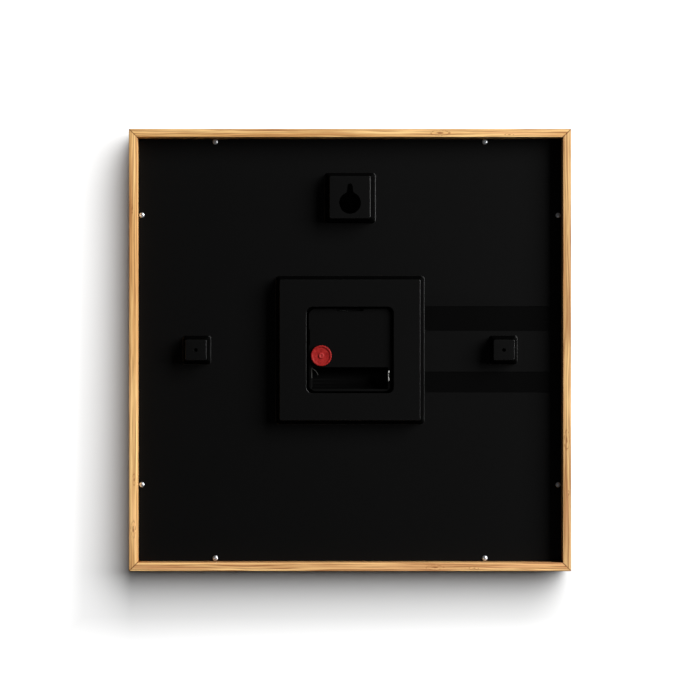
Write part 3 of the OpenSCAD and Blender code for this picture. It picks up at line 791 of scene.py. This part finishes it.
def plane(name, pts, mat):
    me = bpy.data.meshes.new(name)
    me.from_pydata(pts, [], [tuple(range(len(pts)))])
    o = bpy.data.objects.new(name, me)
    bpy.context.scene.collection.objects.link(o)
    me.materials.append(mat)
    o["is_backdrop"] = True
    return o


floor = plain("floor_pale", (0.86, 0.86, 0.86))
floor_o = plane("floor", [(-2.2, -2.2, -0.62), (2.2, -2.2, -0.62), (2.2, 2.2, -0.62), (-2.2, 2.2, -0.62)], floor.m)
floor_o.visible_diffuse = False
floor_o.visible_glossy = False

# a white board just in front of the dial, seen only from the wall side, takes the soft shadow
board = plain("board_white", (0.55, 0.55, 0.55))
t = board.t
lp = t.nodes.new("ShaderNodeLightPath")
geo = t.nodes.new("ShaderNodeNewGeometry")
show = board.math("MULTIPLY", lp.outputs["Is Camera Ray"], board.math("SUBTRACT", 1.0, geo.outputs["Backfacing"]))
clear = t.nodes.new("ShaderNodeBsdfTransparent")
mixed = t.nodes.new("ShaderNodeMixShader")
board.link(show, mixed.inputs[0])
board.link(clear.outputs[0], mixed.inputs[1])
board.link(board.b.outputs[0], mixed.inputs[2])
board.link(mixed.outputs[0], board.out.inputs[0])
# the board is painted darker near the clock, deepening the shadow that falls there, and paler well away from it
bx, by, bz = board.xyz(board.tc)
painted_shade_dist = board.math("MAXIMUM", board.math("ABSOLUTE", bx), board.math("ABSOLUTE", bz))
board.set(color=board.mix(board.span(painted_shade_dist, 0.185, 0.26), (0.56, 0.56, 0.56), (0.95, 0.95, 0.95)))
BOARD_Y = -0.0412
board_o = plane("board", [(1.0, BOARD_Y, -0.6), (-1.0, BOARD_Y, -0.6), (-1.0, BOARD_Y, 0.9), (1.0, BOARD_Y, 0.9)], board.m)

world = bpy.data.worlds.new("studio")
bpy.context.scene.world = world
world.use_nodes = True
wt = world.node_tree
wt.nodes.clear()
wo = wt.nodes.new("ShaderNodeOutputWorld")
seen = wt.nodes.new("ShaderNodeBackground")
seen.inputs[0].default_value = (1, 1, 1, 1)
seen.inputs[1].default_value = 1.0
fill = wt.nodes.new("ShaderNodeBackground")
fill.inputs[0].default_value = (1, 1, 1, 1)
fill.inputs[1].default_value = 0.055
wl = wt.nodes.new("ShaderNodeLightPath")
wm = wt.nodes.new("ShaderNodeMixShader")
wt.links.new(wl.outputs["Is Camera Ray"], wm.inputs[0])
wt.links.new(fill.outputs[0], wm.inputs[1])
wt.links.new(seen.outputs[0], wm.inputs[2])
wt.links.new(wm.outputs[0], wo.inputs[0])


def area(name, loc, target, sx, sy, watts, color=(1, 1, 1), spread=180.0):
    l = bpy.data.lights.new(name, "AREA")
    l.shape = "RECTANGLE"
    l.size, l.size_y = sx, sy
    l.energy = watts
    l.color = color
    l.spread = math.radians(spread)
    o = bpy.data.objects.new(name, l)
    bpy.context.scene.collection.objects.link(o)
    o.location = loc
    o.rotation_euler = (Vector(target) - Vector(loc)).to_track_quat("-Z", "Y").to_euler()
    return o


def lights_only(light, objs):
    """The light reaches only these objects."""
    c = bpy.data.collections.new(light.name + "_receivers")
    for ob in objs:
        c.objects.link(ob)
    light.light_linking.receiver_collection = c


subject = [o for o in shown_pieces()]
# key: a broad soft box behind the clock, to the right and above as the back is seen (-X, +Z)
key = area("key", (-4.3, 2.4, 2.15), (-4.3, 0, 2.15), 4.9, 4.1, 960.0)
lights_only(key, subject)
# a very broad box above gives the board its soft shadow at the left and the bottom
drop = area("drop", (-0.720, 1.5, 1.175), (-0.720, 0, 1.175), 1.600, 2.390, 146.0)
lights_only(drop, [board_o])
# a narrow strip below, for the thin lines on the lower edges
strip = area("strip", (-0.15, 1.5, -0.62), (0, 0, 0), 1.1, 0.08, 0.8)
lights_only(strip, subject)
# front soft box for the dial side
front = area("front", (-1.7, -1.9, 1.6), (0, 0, 0), 1.3, 1.3, 105.0)
lights_only(front, subject)
# weak fill for the side away from the key
side_fill = area("side_fill", (2.4, -0.5, 0.5), (0.15, 0, 0), 1.2, 1.2, 14.0)
lights_only(side_fill, subject)
under_fill = area("under_fill", (0.3, -0.9, -2.2), (0, 0, -0.15), 1.2, 1.2, 9.0)
lights_only(under_fill, subject)
# even light for the floor
above = area("above", (0, 0, 4.0), (0, 0, 0), 6.0, 6.0, 330.0)
lights_only(above, [floor_o])

cam = bpy.data.cameras.new("camera")
cam.sensor_width = 36.0
DIST = 1.80
cam.lens = 18.0 / ((700 * 300.0 / 442.4 / 2) * MM / DIST)
cam_o = bpy.data.objects.new("camera", cam)
bpy.context.scene.collection.objects.link(cam_o)
cam_o.location = (0.0, DIST, 0.0)
cam_o.rotation_euler = (math.radians(90), 0.0, math.radians(180))
cam.clip_start, cam.clip_end = 0.05, 50.0
bpy.context.scene.camera = cam_o

vs = bpy.context.scene.view_settings
vs.view_transform = "Standard"
vs.look = "None"

bpy.context.view_layer.update()
